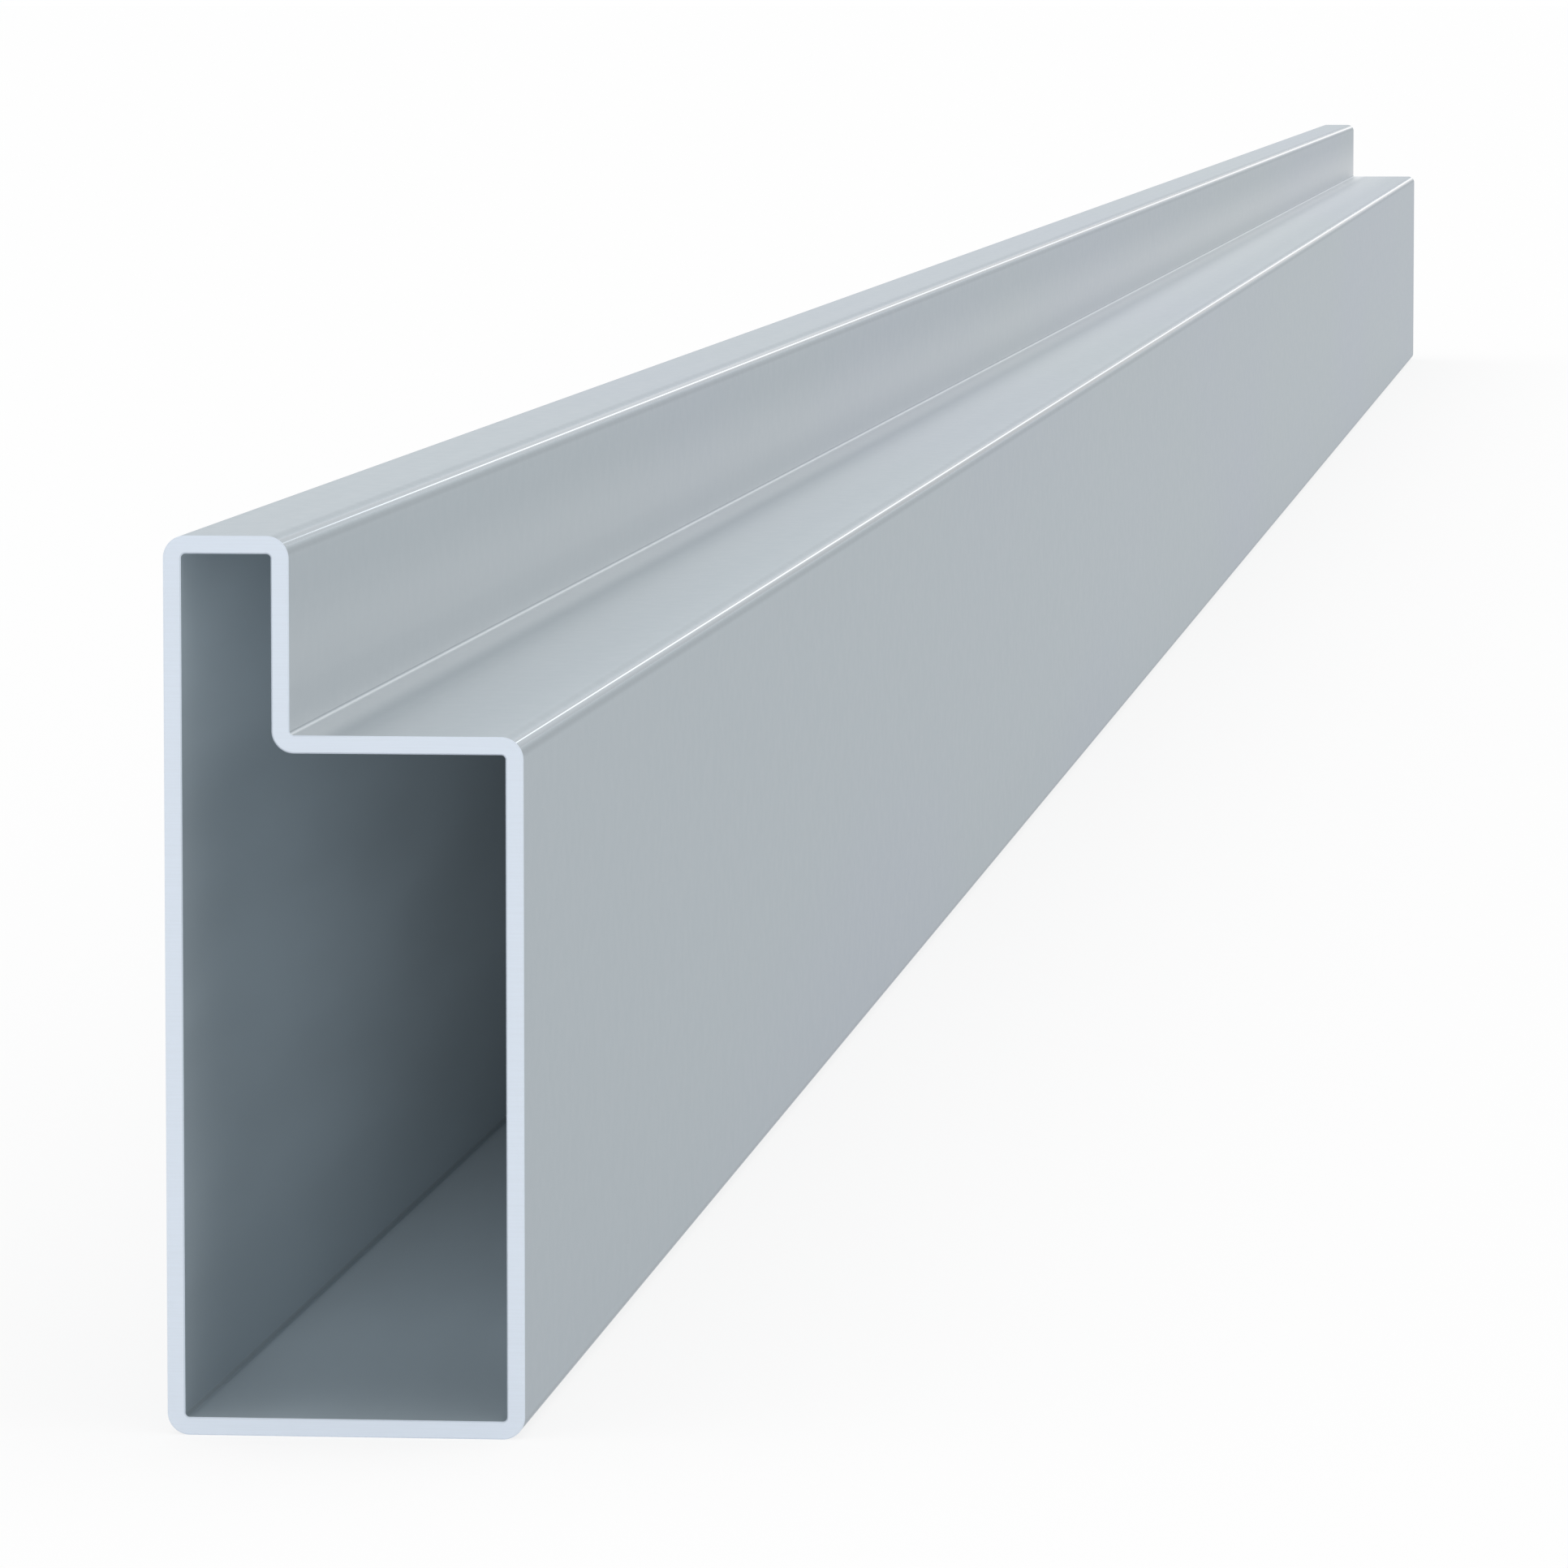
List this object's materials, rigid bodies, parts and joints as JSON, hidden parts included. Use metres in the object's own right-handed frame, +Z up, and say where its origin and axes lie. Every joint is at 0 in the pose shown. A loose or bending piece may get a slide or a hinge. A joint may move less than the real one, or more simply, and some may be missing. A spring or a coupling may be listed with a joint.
{
  "type": "galvanized hollow section",
  "caption": "Rebated L-shaped hollow section of galvanized steel, roll-formed with tight bends and cut square, for door, gate and glazing frames that hold a panel in the rebate.",
  "frame": {"origin": "middle of the base face, halfway along the length", "axes": "+Y along the length, +Z up from the base, +X across the section from the flange towards the rebate"},
  "size_m": [0.04, 3, 0.1],
  "materials": {
    "zinc": "satin"
  },
  "bodies": {
    "root": {"hollow_section": "zinc"}
  },
  "joints": []
}
